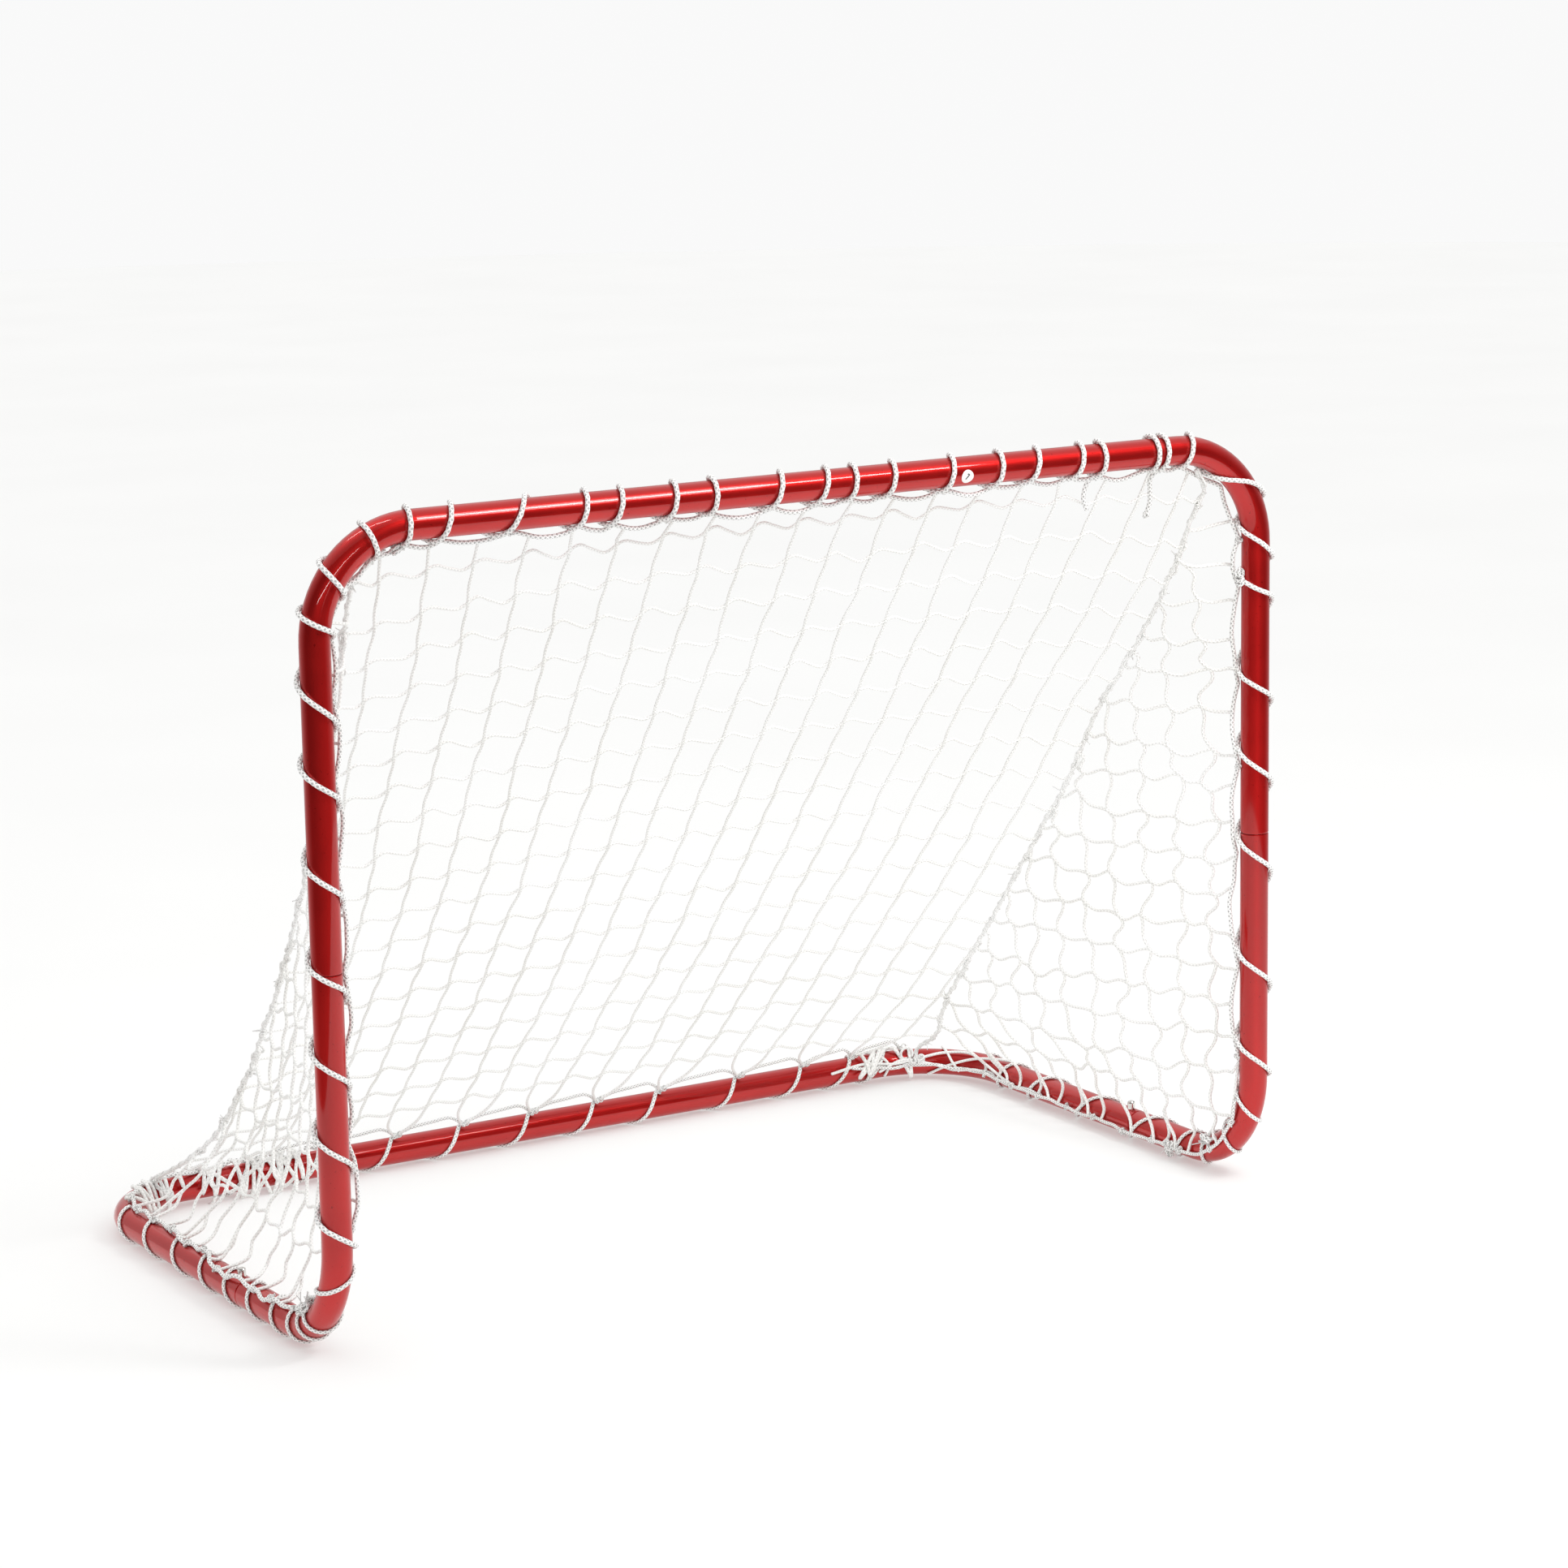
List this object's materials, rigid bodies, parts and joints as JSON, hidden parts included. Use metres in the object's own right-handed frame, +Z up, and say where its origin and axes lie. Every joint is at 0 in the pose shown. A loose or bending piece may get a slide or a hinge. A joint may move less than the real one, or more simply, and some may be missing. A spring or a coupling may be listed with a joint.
{
  "type": "hockey goal",
  "caption": "Small knock-down hockey goal: bent steel tube frame with spring-button joints and a net laced on with cord.",
  "frame": {"origin": "bottom centre of the bounding box, on the floor, midway between the front of the mouth and the rear bar", "axes": "+X across the mouth, +Y from the mouth towards the rear bar, +Z up; the mouth faces -Y"},
  "size_m": [1.204, 0.672, 0.878],
  "materials": {
    "red_paint": "gloss",
    "chrome_steel": "polished",
    "net_twine": "matte",
    "lacing_cord": "matte",
    "sticker_vinyl": "satin"
  },
  "bodies": {
    "frame": {"top_frame": "red_paint", "left_corner_tube": "red_paint", "right_corner_tube": "red_paint", "rear_base_tube": "red_paint", "left_snap_spring": "chrome_steel", "right_snap_spring": "chrome_steel", "back_net": "net_twine", "left_side_net": "net_twine", "right_side_net": "net_twine", "left_seam_cord": "net_twine", "right_seam_cord": "net_twine", "mouth_border_cord": "net_twine", "base_border_cord": "net_twine", "long_mouth_lacing": "lacing_cord", "right_post_lacing": "lacing_cord", "left_base_lacing": "lacing_cord", "rear_base_lacing": "lacing_cord", "right_base_lacing": "lacing_cord", "number_sticker": "sticker_vinyl"},
    "left_button": {"left_snap_button": "chrome_steel"},
    "right_button": {"right_snap_button": "chrome_steel"}
  },
  "joints": [
    {"name": "left_button_press", "type": "slide", "parent": "frame", "child": "left_button", "axis": [0, 0, -1], "range_m": [0, 0.0112], "stiffness_N_per_m": 600, "springref_m": -0.004, "deforming": ["left_snap_spring"]},
    {"name": "right_button_press", "type": "slide", "parent": "frame", "child": "right_button", "axis": [0, 0, -1], "range_m": [0, 0.0112], "stiffness_N_per_m": 600, "springref_m": -0.004, "deforming": ["right_snap_spring"]}
  ]
}
